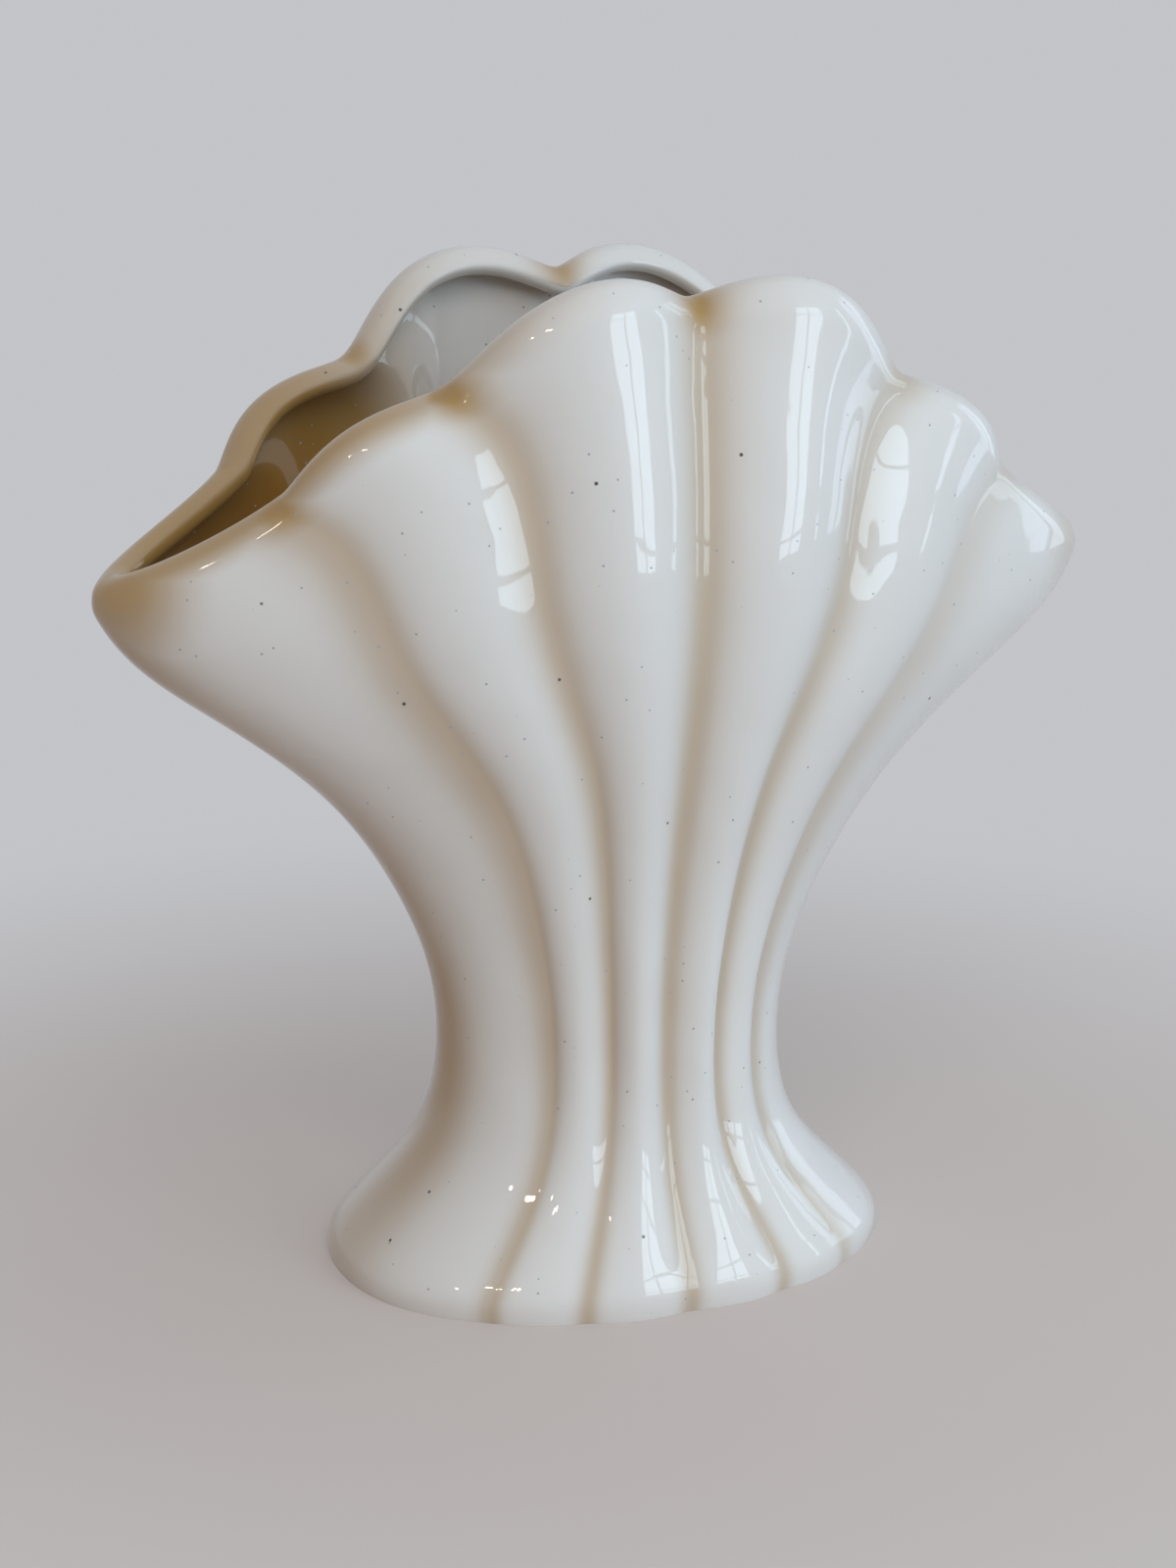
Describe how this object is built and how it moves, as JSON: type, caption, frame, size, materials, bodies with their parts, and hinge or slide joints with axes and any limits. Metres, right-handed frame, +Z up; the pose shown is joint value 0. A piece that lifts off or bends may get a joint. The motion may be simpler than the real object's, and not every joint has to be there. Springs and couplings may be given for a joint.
{
  "type": "fan vase",
  "caption": "Oblong fan vase with a scalloped rim rolled inward, lobed faces, a waisted neck and a flared foot, in glossy off-white glazed ceramic.",
  "frame": {"origin": "centre of the foot's resting face, at table height", "axes": "+X along the fan's width, +Y to the back face, +Z up; the front face looks to -Y"},
  "size_m": [0.2228, 0.0984, 0.2135],
  "materials": {
    "glaze": "glossy clear glaze on off-white clay"
  },
  "bodies": {
    "root": {"vase_body": "glaze"}
  },
  "joints": []
}
